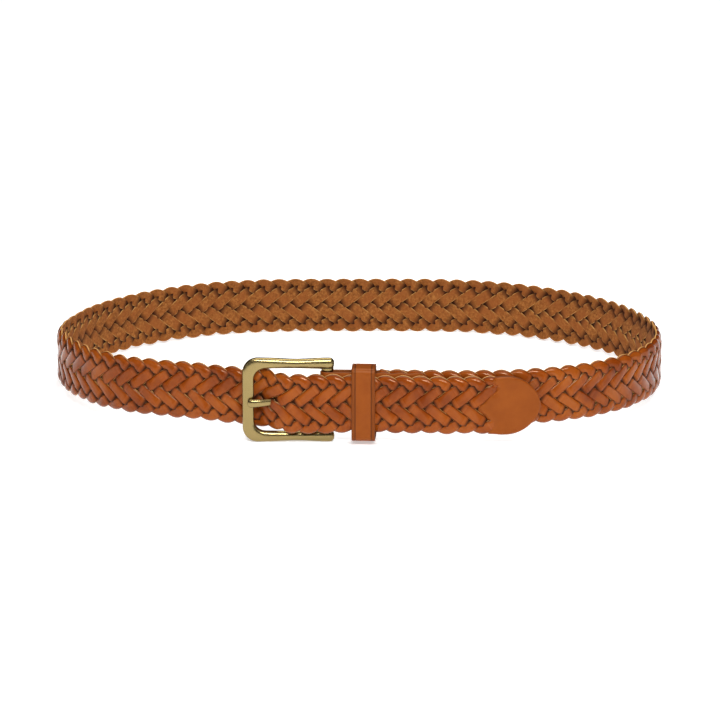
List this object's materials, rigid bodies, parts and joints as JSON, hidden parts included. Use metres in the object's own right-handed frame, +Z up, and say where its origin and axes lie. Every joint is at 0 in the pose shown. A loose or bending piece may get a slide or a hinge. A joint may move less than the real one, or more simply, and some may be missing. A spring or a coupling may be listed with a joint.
{
  "type": "braided leather belt",
  "caption": "Fastened belt of flat braided leather laces with a brass prong buckle, a leather keeper loop and a smooth leather tip tab, standing on its edge in a flattened ring.",
  "frame": {"origin": "middle of the belt's box, on the surface that it rests on", "axes": "+Z up, +X along the belt's longest side, to the right of someone who faces the buckle, and the buckle faces -Y"},
  "size_m": [0.3612, 0.2172, 0.0506],
  "materials": {
    "lace_leather": "smooth orange-tan leather with pale cut edges, suede on the inner side",
    "smooth_leather": "smooth tan leather, satin",
    "brass": "solid brass, satin polish"
  },
  "bodies": {
    "root": {"braided_strap": "lace_leather", "tip_tab": "smooth_leather", "chape": "smooth_leather", "keeper_loop": "smooth_leather", "buckle_frame": "brass", "buckle_prong": "brass"}
  },
  "joints": []
}
